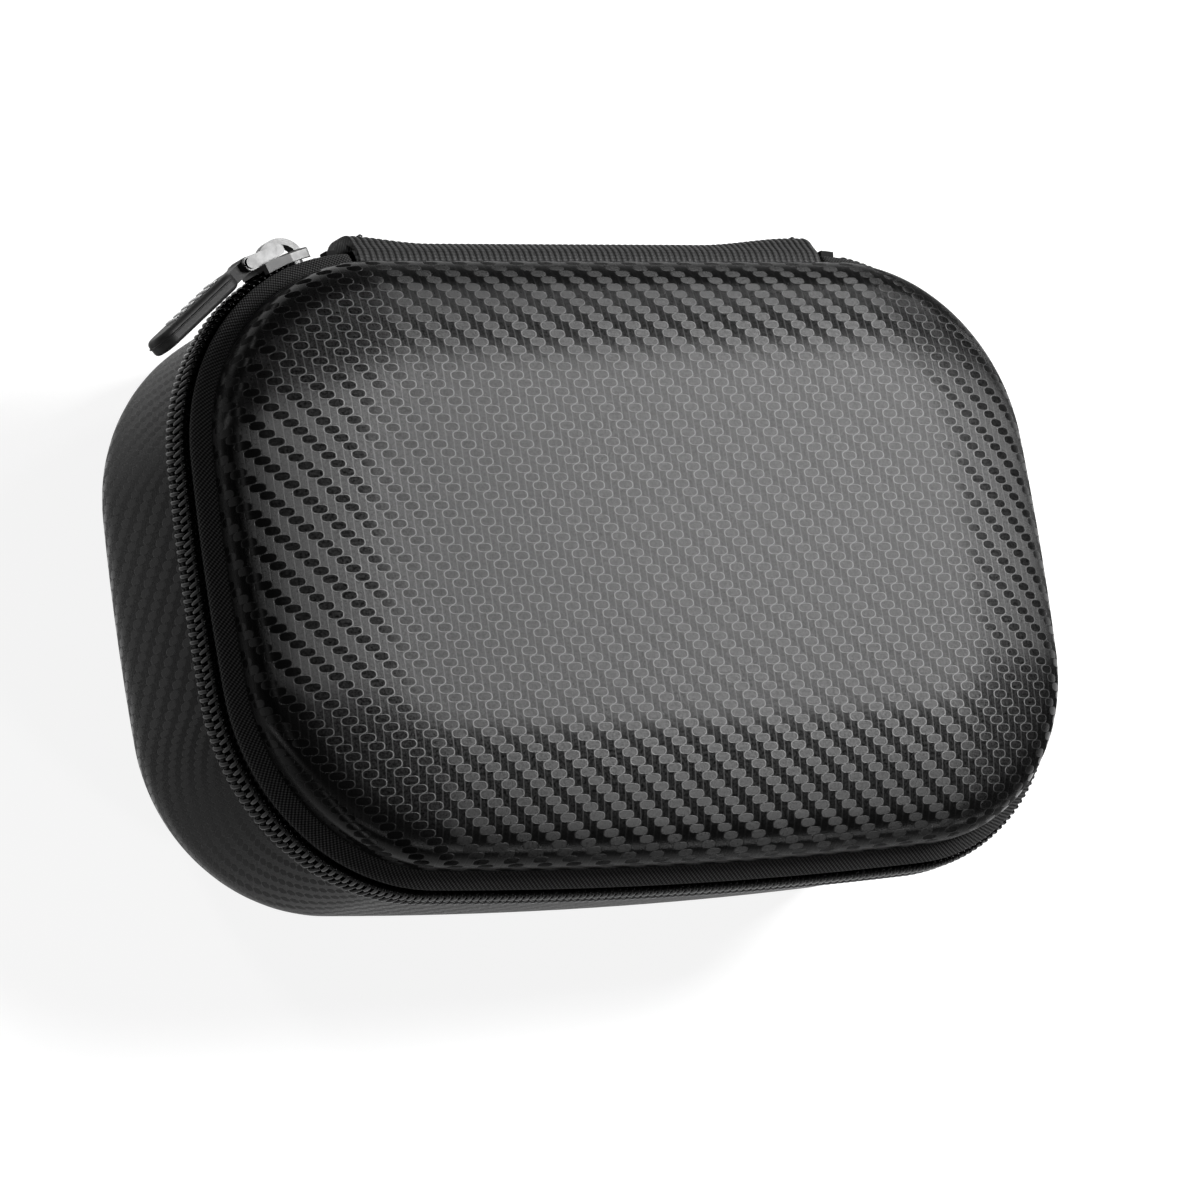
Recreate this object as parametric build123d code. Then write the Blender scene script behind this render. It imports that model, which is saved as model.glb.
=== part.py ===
from build123d import *
from collections import namedtuple
from math import acos, atan2, cos, degrees, hypot, pi, radians, sin
import os

# Zipped hard case for a pair of folded headphones. It lies flat on its base: +X runs along the
# long side, +Y points at the fabric hinge and +Z up through the lid. The origin is the centre of
# the flat bottom. All sizes are in millimetres and angles in degrees.
#
# A "section" is a closed figure whose x is the distance outward from the face of the zip chain
# (so it is negative inside the case) and whose y is the height. It is carried round the case's
# outline, which is a closed ring of tangent arcs with one straight run along the hinge.

# ---- driving dimensions -----------------------------------------------------------------------
HALF_LENGTH = 80.0          # centre to the chain's face, along X
HALF_DEPTH = 53.1           # centre to the chain's face, along Y
FRONT_CORNER_R = 35.1       # corners away from the hinge
BACK_CORNER_R = 35.5        # corners beside the hinge
FRONT_BOW = 3.0             # how far the front side has turned where its corners begin
SIDE_BOW = 2.5              # the same for the two short sides

SPLIT_Z = 41.5              # the zip's middle plane, where the case opens
CASE_H = 58.0               # bottom to the top of the lid

RIM_H = 6.2                 # each shell's cut edge stands this far from the split plane
RIM_IN = 3.8                # and this far inside the chain's face
BELLY = 2.5                 # lean of each wall where it leaves its rim
BASE_EDGE_R = 14.0          # edge round the bottom
LID_WALL = 1.9              # upright stretch of the lid's wall above its rim
LID_EDGE = 22.8             # width of the lid's soft edge, in plan
LID_RADII = (5.0, 12.0, 60.0)   # shoulder, haunch and crown of the lid's soft edge

COVER_T = 0.8               # embossed cover
FOAM_T = 2.9                # moulded foam shell
LINING_T = 0.5              # inner cloth
GLUE = 0.02                 # bond line between layers

TAPE_T = 0.6
COIL_HALF_W = 3.0           # chain face, each side of the split plane
COIL_T = 1.85
SPLIT_GAP = 0.15            # half the gap between the two coils
CORD_R = 0.42               # filler cord inside each coil
TAPE_TOP = -1.2             # highest line of the tape beside the coil
TAPE_EDGE_GAP = 0.3         # tape's inner edge from the split plane
TAPE_SPREAD = 1.6           # the same where the slider's wedge parts the tapes

SLIDER_AT = 19.5            # slider's place on its corner arc, from +Y towards -X
SLIDER_L = 10.8
SLIDER_W = 8.4
SLIDER_REAR_W = 7.4
PLATE_T = 0.8
PLATE_GAP = 0.12            # top plate clear of the chain's face
CROWN_MID = -0.7            # middle of the crown, along the slider
CROWN_HALF_L = 4.3
CROWN_H = 3.1
CROWN_BAND = 1.1
CROWN_W = 1.8
LINK_BAR = (0.0, 1.95)       # link's bar inside the crown: along the slider, then outward
LINK_PIN = (6.0, 1.7)       # pin at the link's far end
BAR_R = 0.7
PIN_R = 0.65
ARM_Z = 2.0                 # inner face of each link arm
ARM_T = 0.8
TAB_TILT = 17.5             # tab leans in towards the chain, from the link's direction
TAB_START = 3.2
TAB_END = 21.9
TAB_W = 6.2
TAB_T = 2.8
GRIP_COUNT = 6

RIBBON_T = 1.1
RIBBON_OUT = 0.6            # ribbon's face, outward of the chain's face
RIBBON_FOLD_OUT = 1.9       # the same over its folded ends
RIBBON_FOLD_L = 7.0
TAPE_END = 2.0              # the zip tapes stop this far round each back corner
COIL_FAR_END = 8.0          # coil's end on the corner away from the slider
POCKET_FRONT = -22.0        # elastic edge of the pocket, along Y
POCKET_H = 7.0              # pocket panel above the split plane

Arc = namedtuple("Arc", "x y radius start sweep")
Run = namedtuple("Run", "x y heading length")


# ---- outline ----------------------------------------------------------------------------------
def turned(point, heading, radius, turn):
    """Where a left-hand arc of this radius ends, and its centre."""
    a, b = radians(heading), radians(heading + turn)
    centre = (point[0] - radius * sin(a), point[1] + radius * cos(a))
    return (centre[0] + radius * sin(b), centre[1] - radius * cos(b)), centre


def outline_spans():
    """The chain's face in plan, anticlockwise from the front side's left end."""
    bow, side = radians(FRONT_BOW), radians(SIDE_BOW)
    # Front quarter: its bow and its side meet the corner arc with no kink.
    across = HALF_LENGTH - FRONT_CORNER_R * (cos(side) - sin(bow))
    along = HALF_DEPTH - FRONT_CORNER_R * (cos(bow) - sin(side))
    det = sin(bow) * sin(side) - (1 - cos(side)) * (1 - cos(bow))
    front_r = (across * sin(side) - along * (1 - cos(side))) / det
    low_side_r = (along * sin(bow) - across * (1 - cos(bow))) / det
    # Back quarter: a straight hinge side.
    high_side_r = (HALF_DEPTH - BACK_CORNER_R * (1 - sin(side))) / sin(side)
    half_run = HALF_LENGTH - BACK_CORNER_R * cos(side) - high_side_r * (1 - cos(side))
    corner = 90 - SIDE_BOW
    steps = [
        (front_r, 2 * FRONT_BOW),
        (FRONT_CORNER_R, corner - FRONT_BOW),
        (low_side_r, SIDE_BOW),
        (high_side_r, SIDE_BOW),
        (BACK_CORNER_R, corner),
        (None, 2 * half_run),
        (BACK_CORNER_R, corner),
        (high_side_r, SIDE_BOW),
        (low_side_r, SIDE_BOW),
        (FRONT_CORNER_R, corner - FRONT_BOW),
    ]
    point = (-front_r * sin(bow), -HALF_DEPTH + front_r * (1 - cos(bow)))
    heading = -FRONT_BOW
    spans = []
    for radius, amount in steps:
        if radius is None:
            spans.append(Run(point[0], point[1], heading, amount))
            step = (cos(radians(heading)) * amount, sin(radians(heading)) * amount)
            point = (point[0] + step[0], point[1] + step[1])
        else:
            end, centre = turned(point, heading, radius, amount)
            spans.append(Arc(centre[0], centre[1], radius, heading - 90, amount))
            point, heading = end, heading + amount
    return spans


OUTLINE = outline_spans()
HINGE_RUN = OUTLINE[5]
SLIDER_CORNER = OUTLINE[6]
FAR_CORNER = OUTLINE[4]


def part_of_arc(arc, first, last):
    """The stretch of an arc between two angles measured from its own start."""
    return Arc(arc.x, arc.y, arc.radius, arc.start + first, last - first)


def outline_face(inward):
    """Flat figure of the outline moved inward."""
    edges = []
    for span in OUTLINE:
        if isinstance(span, Run):
            h = radians(span.heading)
            start = (span.x - sin(h) * inward, span.y + cos(h) * inward)
            end = (start[0] + cos(h) * span.length, start[1] + sin(h) * span.length)
            edges.append(Line(start, end))
        else:
            r = span.radius - inward
            angles = (span.start, span.start + span.sweep / 2, span.start + span.sweep)
            ends = [(span.x + r * cos(radians(a)), span.y + r * sin(radians(a))) for a in angles]
            edges.append(ThreePointArc(*ends))
    return make_face(edges)


def carried(spans, section):
    """Solid left by a section carried along these spans."""
    solids = []
    for span in spans:
        if isinstance(span, Run):
            h = radians(span.heading)
            plane = Plane((span.x, span.y, 0), x_dir=(sin(h), -cos(h), 0), z_dir=(-cos(h), -sin(h), 0))
            solids.append(extrude(plane * section, amount=-span.length))
        else:
            a = radians(span.start)
            plane = Plane((span.x, span.y, 0), x_dir=(cos(a), sin(a), 0), z_dir=(sin(a), -cos(a), 0))
            spindle = Axis((span.x, span.y, 0), (0, 0, 1))
            solids.append(revolve(plane * Pos(span.radius, 0) * section, spindle, span.sweep))
    return solids[0] if len(solids) == 1 else solids[0].fuse(*solids[1:]).clean()


def polygon(*points):
    return make_face(Polyline(*points, close=True))


def box_section(low_x, high_x, low_y, high_y):
    return polygon((low_x, low_y), (high_x, low_y), (high_x, high_y), (low_x, high_y))


# ---- shells -----------------------------------------------------------------------------------
def soft_edge_headings(width, rise, radii):
    """Headings at which three tangent arcs change over, from upright to level.

    The two unknown headings follow from the sum of two vectors, one for each change of radius."""
    small, middle, large = radii
    level = large - rise
    upright = width - small
    first, second = middle - small, large - middle
    between = acos((level**2 + upright**2 - first**2 - second**2) / (2 * first * second))
    lean = atan2(first * sin(between), second + first * cos(between))
    flat_end = atan2(upright, level) - lean
    return 180 - degrees(flat_end + between), 180 - degrees(flat_end)


def wall_steps(height):
    """Arcs of the base's wall, from its rim to the bottom: (radius, heading at the end)."""
    turn_rise = BASE_EDGE_R * (1 - sin(radians(BELLY)))
    belly_r = (height - RIM_H - turn_rise) / (2 * sin(radians(BELLY)))
    return [(belly_r, 90 + BELLY), (BASE_EDGE_R, 180)]


def lid_steps(height):
    """Arcs of the lid's wall and soft edge, from its rim to the flat middle."""
    belly_r = LID_WALL / sin(radians(BELLY))
    haunch, crown = soft_edge_headings(LID_EDGE, height - RIM_H - LID_WALL, LID_RADII)
    headings = (haunch, crown, 180)
    return [(belly_r, 90)] + list(zip(LID_RADII, headings))


def profile(steps, inward):
    """Points of a wall's profile moved inward: pairs of (middle, end) after the first point."""
    h = radians(90 - BELLY)
    x = -RIM_IN - inward * sin(h)
    y = RIM_H + inward * cos(h)
    points = [(x, y)]
    for radius, end in steps:
        e = radians(end)
        for stop in ((h + e) / 2, e):
            points.append((x + (radius - inward) * (sin(stop) - sin(h)),
                           y + (radius - inward) * (cos(h) - cos(stop))))
        x, y = points[-1]
        h = e
    return points


def layer(steps, up, outer, inner):
    """One layer of a shell between two depths below its outer surface. up is 1 or -1."""
    def placed(points):
        return [(x, SPLIT_Z + up * y) for x, y in points]

    outside, inside = placed(profile(steps, outer)), placed(profile(steps, inner))
    edges = [Line(outside[0], inside[0]), Line(outside[-1], inside[-1])]
    for points in (outside, inside):
        for i in range(0, len(points) - 1, 2):
            edges.append(ThreePointArc(points[i], points[i + 1], points[i + 2]))
    ring = carried(OUTLINE, make_face(edges))
    flat_in = -outside[-1][0]
    low, high = sorted((outside[-1][1], inside[-1][1]))
    middle = extrude(Pos(0, 0, low) * outline_face(flat_in), amount=high - low)
    return ring.fuse(middle).clean()


BASE_STEPS = wall_steps(SPLIT_Z)
LID_STEPS = lid_steps(CASE_H - SPLIT_Z)
FOAM_OUT = COVER_T + GLUE
FOAM_IN = FOAM_OUT + FOAM_T
LINING_OUT = FOAM_IN + GLUE
LINING_IN = LINING_OUT + LINING_T


# ---- zip --------------------------------------------------------------------------------------
# Round the case the zip runs anticlockwise from the slider's corner to the far back corner.
ZIP_REST = OUTLINE[7:] + OUTLINE[:4]
CORNER_END = SLIDER_CORNER.sweep
COIL_START = SLIDER_AT - 1.0
SPREAD_END = COIL_START + 0.3


def zip_spans(first, last):
    """From an angle on the slider's corner to an angle on the far corner, both from +Y."""
    start = part_of_arc(SLIDER_CORNER, first, CORNER_END)
    end = part_of_arc(FAR_CORNER, 0, FAR_CORNER.sweep - last)
    return [start] + ZIP_REST + [end]


def tape_section(up, inner_edge):
    """Tape under the coil, up over a soft ridge and in under the shell's cut edge."""
    coil_seat = -COIL_T - 0.06
    ridge_z = COIL_HALF_W + 0.9
    flange_z = RIM_H - 0.15
    points = [
        (coil_seat, inner_edge),
        (coil_seat, COIL_HALF_W - 0.2),
        (TAPE_TOP, ridge_z - 0.3),
        (TAPE_TOP - 0.1, ridge_z + 0.5),
        (-RIM_IN + 0.6, flange_z - 0.5),
        (-RIM_IN - 0.4, flange_z),
        (-RIM_IN - 4.4, flange_z),
        (-RIM_IN - 4.4, flange_z - TAPE_T),
        (-RIM_IN - 0.2, flange_z - TAPE_T),
        (-RIM_IN + 0.2, flange_z - TAPE_T - 0.5),
        (TAPE_TOP - 0.8, ridge_z + 0.2),
        (TAPE_TOP - 0.7, ridge_z),
        (coil_seat - TAPE_T, COIL_HALF_W + 0.3),
        (coil_seat - TAPE_T, inner_edge),
    ]
    return polygon(*[(x, SPLIT_Z + up * y) for x, y in points])


def zip_tape(up):
    spread = part_of_arc(SLIDER_CORNER, TAPE_END, SPREAD_END)
    parted = carried([spread], tape_section(up, TAPE_SPREAD))
    together = carried(zip_spans(SPREAD_END, TAPE_END), tape_section(up, TAPE_EDGE_GAP))
    return together.fuse(parted).clean()


def coil_outline(up):
    """D-shaped outside of one half of the chain, with its back flat on the tape."""
    flat = [(-COIL_T, SPLIT_GAP), (0, SPLIT_GAP), (0, COIL_HALF_W - 0.7), (-0.35, COIL_HALF_W - 0.12),
            (-0.9, COIL_HALF_W), (-COIL_T, COIL_HALF_W - 0.25)]
    return polygon(*[(x, SPLIT_Z + up * y) for x, y in flat])


def cord_place(up):
    return (-COIL_T / 2 - 0.02, SPLIT_Z + up * 1.75)


def zip_coil(up):
    bore = Pos(*cord_place(up)) * Circle(CORD_R + 0.05)
    return carried(zip_spans(COIL_START, COIL_FAR_END), coil_outline(up) - bore)


def zip_cord(up):
    return carried(zip_spans(COIL_START, COIL_FAR_END), Pos(*cord_place(up)) * Circle(CORD_R))


def top_stop(up):
    """Small clamp on one tape, just ahead of the slider."""
    section = box_section(-2.9, -0.25, SPLIT_Z + up * 1.0, SPLIT_Z + up * 3.0)
    slot = box_section(-2.6, -1.7, SPLIT_Z + up * 1.5, SPLIT_Z + up * 4.0)
    return carried([part_of_arc(SLIDER_CORNER, 4.0, 7.0)], section - slot)


def end_stop():
    """Clamp across both tapes where the coil ends on the far corner."""
    section = box_section(-2.75, -0.1, SPLIT_Z - 3.4, SPLIT_Z + 3.4)
    for up in (1, -1):
        section -= box_section(-2.58, -1.3, SPLIT_Z + up * 0.2, SPLIT_Z + up * 4.0)
    stretch = part_of_arc(FAR_CORNER, FAR_CORNER.sweep - 7.4, FAR_CORNER.sweep - 3.4)
    return carried([stretch], section)


# ---- rims, pocket and fabric hinge --------------------------------------------------------------
def rim_binding(up, leg_top):
    """Cloth strip that closes a rim: under the tape's flange and up inside the lining."""
    low = RIM_H - 0.15 - TAPE_T - 0.06 - 0.55
    points = [(-4.6, low + 0.55), (-4.6, low), (-9.0, low), (-9.0, leg_top), (-8.4, leg_top), (-8.4, low + 0.55)]
    return carried(OUTLINE, polygon(*[(x, SPLIT_Z + up * y) for x, y in points]))


def seam_thread(up):
    """The seam through each rim, seen on its binding."""
    z = SPLIT_Z + up * (RIM_H - 0.15 - TAPE_T - 0.06 - 0.55 - 0.14)
    return carried(OUTLINE, Pos(-6.4, z) * Circle(0.12))


def ribbon_section(out):
    """Ribbon from one rim to the other, over the hinge line."""
    flange = RIM_H - 0.15
    face = [(-RIM_IN - 4.4, flange), (-RIM_IN - 0.3, flange), (-1.4, flange - 0.4), (out - 0.5, 4.2), (out, 3.0)]
    back = [(out - RIBBON_T, 2.8), (out - RIBBON_T - 0.6, 3.8), (-2.0, flange - 1.4),
            (-RIM_IN - 0.3, flange - TAPE_T), (-RIM_IN - 4.4, flange - TAPE_T)]
    upper = [(x, SPLIT_Z + y) for x, y in face]
    lower = [(x, SPLIT_Z - y) for x, y in reversed(face)]
    back_lower = [(x, SPLIT_Z - y) for x, y in reversed(back)]
    back_upper = [(x, SPLIT_Z + y) for x, y in back]
    return polygon(*upper, *lower, *back_lower, *back_upper)


def hinge_ribbon():
    """Woven ribbon, doubled over at each end."""
    inset = 0.2
    run = Run(HINGE_RUN.x - inset, HINGE_RUN.y, HINGE_RUN.heading, HINGE_RUN.length - 2 * inset)
    ribbon = carried([run], ribbon_section(RIBBON_OUT))
    fold = box_section(RIBBON_OUT - 0.3, RIBBON_FOLD_OUT, SPLIT_Z - 3.6, SPLIT_Z + 3.6)
    for start in (run.x, run.x - run.length + RIBBON_FOLD_L):
        ribbon += carried([Run(start, run.y, run.heading, RIBBON_FOLD_L)], fold)
    return ribbon.clean()


def hinge_inner_strip():
    run = Run(HINGE_RUN.x - 1.5, HINGE_RUN.y, HINGE_RUN.heading, HINGE_RUN.length - 3.0)
    return carried([run], box_section(-4.35, -3.55, SPLIT_Z - 4.5, SPLIT_Z + 4.5))


def ribbon_stitching():
    """A bar of stitches across each folded end."""
    section = box_section(RIBBON_FOLD_OUT + 0.02, RIBBON_FOLD_OUT + 0.22, SPLIT_Z - 3.2, SPLIT_Z + 3.2)
    bar = 0.9
    bars = []
    for along in (2.2, HINGE_RUN.length - 2.2 - bar):
        bars.append(carried([Run(HINGE_RUN.x - along, HINGE_RUN.y, HINGE_RUN.heading, bar)], section))
    return Compound(children=[Part(bar_solid.wrapped) for bar_solid in bars])


def pocket_shape(inward, front, back, low, high):
    sheet = extrude(Pos(0, 0, low) * outline_face(inward), amount=high - low)
    keep = Pos(0, (front + back) / 2, (low + high) / 2) * Box(2 * HALF_LENGTH, back - front, 2 * (high - low))
    return sheet & keep


def mesh_pocket():
    z = SPLIT_Z + POCKET_H
    return pocket_shape(9.4, POCKET_FRONT, HALF_DEPTH, z, z + 0.4)


def pocket_elastic():
    z = SPLIT_Z + POCKET_H
    return pocket_shape(9.4, POCKET_FRONT - 6.0, POCKET_FRONT - 0.02, z - 0.3, z + 0.7)


# ---- slider and pull ----------------------------------------------------------------------------
FACE_R = SLIDER_CORNER.radius
SLIDER_POLAR = radians(90 + SLIDER_AT)
OUTWARD = (cos(SLIDER_POLAR), sin(SLIDER_POLAR))
# Slider frame: x along the chain away from the hinge, y outward from the chain's face.
SLIDER_PLANE = Plane(
    (SLIDER_CORNER.x + FACE_R * OUTWARD[0], SLIDER_CORNER.y + FACE_R * OUTWARD[1], SPLIT_Z),
    x_dir=(-OUTWARD[1], OUTWARD[0], 0),
    z_dir=(0, 0, -1),
)
CORNER_SPINDLE = Pos(SLIDER_CORNER.x, SLIDER_CORNER.y, SPLIT_Z)


def in_slider(solid):
    return SLIDER_PLANE.location * solid


def slider_plan():
    """Rounded plan of the slider, wide at the mouth and narrower behind, as a radial block."""
    nose, tail = -SLIDER_L / 2, SLIDER_L / 2
    w, v = SLIDER_W / 2, SLIDER_REAR_W / 2
    plan = polygon((nose + 0.6, -w + 1.4), (nose + 1.8, -w), (-0.5, -w), (tail - 1.2, -v), (tail, -v + 1.3),
                   (tail, v - 1.3), (tail - 1.2, v), (-0.5, w), (nose + 1.8, w), (nose + 0.6, w - 1.4),
                   (nose, 1.2), (nose, -1.2))
    block = extrude(Plane((0, -6, 0), x_dir=(1, 0, 0), z_dir=(0, 1, 0)) * plan, amount=12)
    return in_slider(block)


def slider_body():
    """Two curved plates with side flanges, joined by the wedge at the mouth."""
    half = degrees(SLIDER_L / 2 / FACE_R) + 1.0
    stretch = part_of_arc(SLIDER_CORNER, SLIDER_AT - half, SLIDER_AT + half)
    top = PLATE_GAP + PLATE_T
    flange_in, flange_tip = COIL_HALF_W + 0.18, -0.72
    w = SLIDER_W / 2
    outer = polygon(*[(x, SPLIT_Z + z) for x, z in (
        (flange_tip, -w), (top - 0.3, -w), (top, -w + 0.35), (top, w - 0.35), (top - 0.3, w), (flange_tip, w),
        (flange_tip, flange_in), (PLATE_GAP, flange_in), (PLATE_GAP, -flange_in), (flange_tip, -flange_in))])
    seat = -COIL_T - 0.06 - TAPE_T - 0.18
    inner = box_section(seat - 0.9, seat, SPLIT_Z - w + 0.25, SPLIT_Z + w - 0.25)
    plates = (carried([stretch], outer) + carried([stretch], inner)) & slider_plan()
    wedge = polygon((-4.6, -0.5), (-3.6, -1.25), (-2.6, -1.25), (-1.2, -0.3), (-1.2, 0.3), (-2.6, 1.25),
                    (-3.6, 1.25), (-4.6, 0.5))
    post = in_slider(extrude(Plane((0, seat - 0.7, 0), x_dir=(1, 0, 0), z_dir=(0, 1, 0)) * wedge,
                             amount=PLATE_GAP + 0.4 - seat + 0.7))
    return (plates + post).clean()


def slider_crown():
    """Arched bridge that holds the pull."""
    foot = 0.2
    rise = CROWN_H + PLATE_GAP + PLATE_T
    arch = Pos(CROWN_MID, foot) * Ellipse(CROWN_HALF_L, rise - foot)
    arch -= Pos(CROWN_MID, foot) * Ellipse(CROWN_HALF_L - CROWN_BAND, rise - foot - CROWN_BAND)
    arch &= Pos(CROWN_MID, foot + CROWN_H) * Rectangle(4 * CROWN_HALF_L, 2 * CROWN_H)
    band = in_slider(extrude(arch, amount=CROWN_W / 2, both=True))
    return band - CORNER_SPINDLE * Cylinder(FACE_R + PLATE_GAP + PLATE_T + GLUE, 4 * CROWN_W)


def arm_section():
    """Side view of a link arm, round at both ends."""
    bar_end, pin_end = 0.85, 1.2
    length = hypot(LINK_PIN[0] - LINK_BAR[0], LINK_PIN[1] - LINK_BAR[1])
    lean = degrees(atan2(LINK_PIN[1] - LINK_BAR[1], LINK_PIN[0] - LINK_BAR[0]))
    web = polygon((0, -bar_end), (length, -pin_end), (length, pin_end), (0, bar_end))
    arm = web + Circle(bar_end) + Pos(length, 0) * Circle(pin_end)
    arm -= Pos(length, 0) * Circle(PIN_R + 0.02)
    return Pos(*LINK_BAR) * Rot(0, 0, lean) * arm


def pull_link():
    """Stirrup: two arms joined by the bar that hangs in the crown."""
    bar = Pos(*LINK_BAR) * Cylinder(BAR_R, 2 * ARM_Z + ARM_T)
    link = bar
    for side in (1, -1):
        link += Pos(0, 0, side * (ARM_Z + ARM_T / 2)) * extrude(arm_section(), amount=ARM_T / 2, both=True)
    return in_slider(link.clean())


def pull_pin():
    """Pin with a low head outside each arm."""
    reach = ARM_Z + ARM_T
    head = 0.3
    pin = Pos(*LINK_PIN) * Cylinder(PIN_R, 2 * (reach + 0.02 + head / 2))
    for side in (1, -1):
        pin += Pos(LINK_PIN[0], LINK_PIN[1], side * (reach + 0.02 + head / 2)) * Cylinder(0.9, head)
    return in_slider(pin.clean())


def on_tab(shape):
    """Place a shape drawn along +x from the pin on the leaning tab."""
    return in_slider(Pos(*LINK_PIN) * Rot(0, 0, -TAB_TILT) * shape)


def pull_tab():
    """Moulded tab with an eye on the pin."""
    length = TAB_END - TAB_START
    plan = Plane((0, 0, 0), x_dir=(1, 0, 0), z_dir=(0, -1, 0)) * Pos(TAB_START + length / 2, 0)
    slab = extrude(plan * RectangleRounded(length, TAB_W, 2.6), amount=TAB_T / 2, both=True)
    slab = fillet(slab.edges().filter_by(Plane.XZ), 0.8)
    eye_r, neck_z = 1.3, 1.8
    eye = Cylinder(eye_r, 2 * neck_z) + Pos(TAB_START / 2 + 0.4, 0, 0) * Box(TAB_START + 0.8, 2 * 1.1, 2 * neck_z)
    tab = slab + eye - Cylinder(PIN_R + 0.05, 4 * neck_z)
    return on_tab(tab.clean())


def tab_grip():
    """Low bars across the tab's outer face."""
    pitch = 1.9
    first = TAB_START + 3.4
    bars = []
    for i in range(GRIP_COUNT):
        bars.append(on_tab(Pos(first + i * pitch, TAB_T / 2 + 0.14, 0) * Box(0.9, 0.24, 3.4)))
    return Compound(children=[Part(bar.wrapped) for bar in bars])


PARTS = {
    "base_cover": lambda: layer(BASE_STEPS, -1, 0, COVER_T),
    "base_shell": lambda: layer(BASE_STEPS, -1, FOAM_OUT, FOAM_IN),
    "base_lining": lambda: layer(BASE_STEPS, -1, LINING_OUT, LINING_IN),
    "base_rim_binding": lambda: rim_binding(-1, 14.0),
    "base_seam_thread": lambda: seam_thread(-1),
    "base_zip_tape": lambda: zip_tape(-1),
    "base_zip_coil": lambda: zip_coil(-1),
    "base_zip_cord": lambda: zip_cord(-1),
    "base_top_stop": lambda: top_stop(-1),
    "zip_end_stop": end_stop,
    "hinge_ribbon": hinge_ribbon,
    "hinge_inner_strip": hinge_inner_strip,
    "ribbon_stitching": ribbon_stitching,
    "lid_cover": lambda: layer(LID_STEPS, 1, 0, COVER_T),
    "lid_shell": lambda: layer(LID_STEPS, 1, FOAM_OUT, FOAM_IN),
    "lid_lining": lambda: layer(LID_STEPS, 1, LINING_OUT, LINING_IN),
    "lid_rim_binding": lambda: rim_binding(1, 6.85),
    "lid_seam_thread": lambda: seam_thread(1),
    "lid_zip_tape": lambda: zip_tape(1),
    "lid_zip_coil": lambda: zip_coil(1),
    "lid_zip_cord": lambda: zip_cord(1),
    "lid_top_stop": lambda: top_stop(1),
    "mesh_pocket": mesh_pocket,
    "pocket_elastic": pocket_elastic,
    "slider_body": slider_body,
    "slider_crown": slider_crown,
    "pull_link": pull_link,
    "pull_pin": pull_pin,
    "pull_tab": pull_tab,
    "tab_grip": tab_grip,
}

os.makedirs("parts", exist_ok=True)
for name, make in PARTS.items():
    export_step(make(), f"parts/{name}.step")
    print(name)
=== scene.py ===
import math

import bmesh
import bpy
import numpy as np
from mathutils import Matrix, Vector


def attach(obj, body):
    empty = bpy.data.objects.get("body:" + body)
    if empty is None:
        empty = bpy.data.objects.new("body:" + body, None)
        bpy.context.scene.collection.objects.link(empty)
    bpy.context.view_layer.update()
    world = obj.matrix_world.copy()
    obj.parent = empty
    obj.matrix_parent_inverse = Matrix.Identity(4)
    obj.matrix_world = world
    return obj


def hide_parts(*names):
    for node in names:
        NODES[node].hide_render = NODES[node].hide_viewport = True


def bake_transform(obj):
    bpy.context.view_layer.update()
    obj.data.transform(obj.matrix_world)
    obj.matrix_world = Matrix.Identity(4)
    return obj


# Zipped hard case for headphones, lying on its base. Lengths are in millimetres and become metres
# in make_mesh() or by the factor MM; only the materials are set out in metres. Angles are in
# radians. A section's first number is the distance outward from the face of the zip chain and its
# second the height, which counts from the split plane until SPLIT_Z is added.

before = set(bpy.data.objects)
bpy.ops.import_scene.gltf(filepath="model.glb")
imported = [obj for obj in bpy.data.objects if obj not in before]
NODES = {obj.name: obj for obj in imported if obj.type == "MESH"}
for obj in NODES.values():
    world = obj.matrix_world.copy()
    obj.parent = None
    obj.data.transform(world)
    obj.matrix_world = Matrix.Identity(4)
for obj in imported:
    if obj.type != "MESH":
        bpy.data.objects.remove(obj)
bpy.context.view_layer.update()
MM = 0.001
UV_LAYER = "UVMap"
HALVES = (("lid", 1), ("base", -1))     # each half and the way it lies from the split plane

# ---- the case's dimensions, as in the CAD model --------------------------------------------------
HALF_LENGTH = 80.0
HALF_DEPTH = 53.1
FRONT_CORNER_R = 35.1
BACK_CORNER_R = 35.5
FRONT_BOW = math.radians(3.0)           # half of the front side's turn
SIDE_BOW = math.radians(2.5)            # half of a short side's turn
SPLIT_Z = 41.5
CASE_H = 58.0
RIM_H = 6.2                             # from the split plane to a shell's rim
RIM_IN = 3.8                            # and from the chain's face in to it
BELLY = math.radians(2.5)               # a wall's lean at its rim
BASE_EDGE_R = 14.0
LID_WALL = 1.9                          # height of the lid's wall below its soft edge
LID_EDGE = 22.8                         # width of the soft edge, seen from above
LID_RADII = (5.0, 12.0, 60.0)           # its arcs, from the wall to the flat
COVER_T = 0.8
LINING_OUT = 3.74
LINING_IN = 4.24
COVER_LIP = 0.25                        # how far a cut edge is rounded
LINING_LIP = 0.1

TAPE_T = 0.6
TAPE_TOP = -1.2
FLANGE_Z = RIM_H - 0.15                 # the sewn edge of the tapes and the ribbon
FLANGE_END = -RIM_IN - 4.4
COIL_HALF_W = 3.0
COIL_SEAT = -1.91                       # the tape's face behind a coil
COIL_WIRE_R = 0.39
COIL_PITCH = 1.31
COIL_OUT, COIL_OUT_SWING = -0.98, 0.5   # a turn's centre and reach, across the tape's face
COIL_UP, COIL_UP_SWING = 1.2, 1.34      # and away from the split plane
SLIDER_AT = math.radians(19.5)
TAPE_END = math.radians(2.0)
COIL_NEAR_END = math.radians(1.0)       # how far the coils run on into the slider
COIL_FAR_END = math.radians(8.0)

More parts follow.
